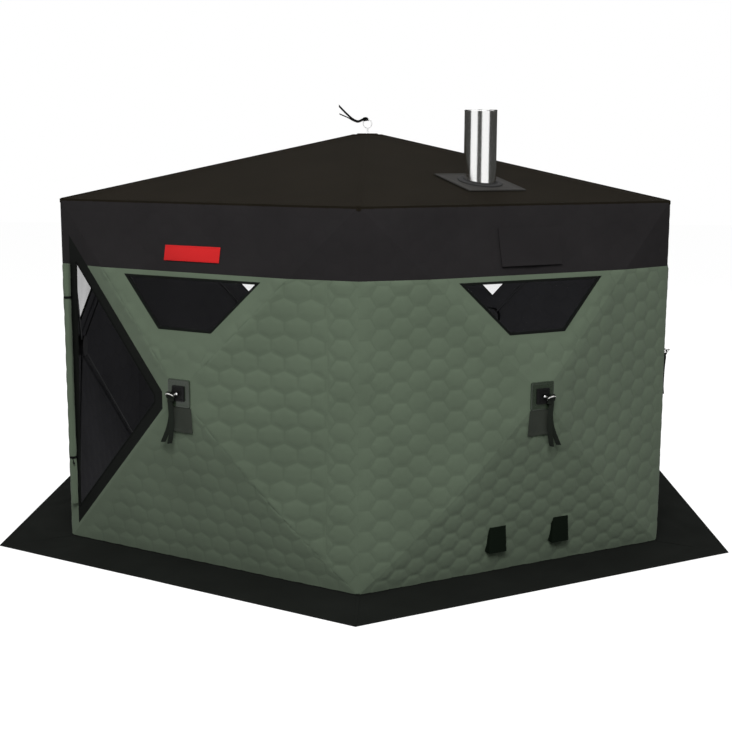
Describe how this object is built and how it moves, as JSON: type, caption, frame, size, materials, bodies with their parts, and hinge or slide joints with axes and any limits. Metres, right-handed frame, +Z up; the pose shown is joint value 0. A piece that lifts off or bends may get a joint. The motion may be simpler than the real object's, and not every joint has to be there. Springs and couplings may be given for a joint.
{
  "type": "pop-up hub ice fishing hut",
  "caption": "Hexagonal pop-up ice fishing hut with quilted walls pushed out by hubs, slanted windows, an open doorway, a stove pipe and a snow skirt.",
  "frame": {"origin": "on the ground at the centre of the hexagonal plan", "axes": "+Z up, -Y towards the wall corner between the doorway wall and the stove pipe wall, +X towards the right hand wall"},
  "size_m": [3.747, 4.3268, 2.2792],
  "materials": {
    "green_quilt": "quilted insulated oxford cloth, dark green, hexagon stitching",
    "black_quilt": "quilted insulated oxford cloth, black",
    "roof_cloth": "smooth coated oxford cloth, brownish black",
    "skirt_cloth": "smooth coated cloth, black",
    "black_tape": "woven polyester tape, black",
    "grey_cloth": "oxford cloth, dark grey",
    "red_cloth": "plain red cloth patch",
    "clear_sheet": "clear flexible window sheet, lightly smoked",
    "hub_plastic": "moulded nylon, dark grey, satin",
    "black_plastic": "moulded nylon, black",
    "steel": "stainless steel, satin",
    "pole_fibre": "pultruded fibreglass rod, black",
    "boot_rubber": "heat-proof silicone rubber, black",
    "flashing_sheet": "heat-proof coated sheet, dark grey"
  },
  "bodies": {
    "root": {"back_left_band": "black_quilt", "back_left_roof": "roof_cloth", "back_left_wall": "green_quilt", "back_right_band": "black_quilt", "back_right_roof": "roof_cloth", "back_right_wall": "green_quilt", "cord_hoods": "black_tape", "corner_pockets": "black_plastic", "door_surround": "black_tape", "door_ties": "black_tape", "front_left_band": "black_quilt", "front_left_roof": "roof_cloth", "front_left_wall": "green_quilt", "front_right_band": "black_quilt", "front_right_roof": "roof_cloth", "front_right_wall": "green_quilt", "hub_bolts": "steel", "hub_bosses": "black_plastic", "hub_flaps": "grey_cloth", "hub_plates": "hub_plastic", "hub_rings": "steel", "inner_hubs": "black_plastic", "left_band": "black_quilt", "left_roof": "roof_cloth", "left_wall": "green_quilt", "pull_straps": "black_tape", "red_patch": "red_cloth", "right_band": "black_quilt", "right_roof": "roof_cloth", "right_wall": "green_quilt", "rolled_door": "green_quilt", "roof_cap": "roof_cloth", "roof_hub": "black_plastic", "roof_poles": "pole_fibre", "roof_ring": "steel", "roof_strap": "black_tape", "snow_skirt": "skirt_cloth", "stove_boot": "boot_rubber", "stove_flashing": "flashing_sheet", "stove_pipe": "steel", "vent_flap": "roof_cloth", "wall_poles": "pole_fibre", "window_panes": "clear_sheet", "window_tapes": "black_tape"}
  },
  "joints": []
}
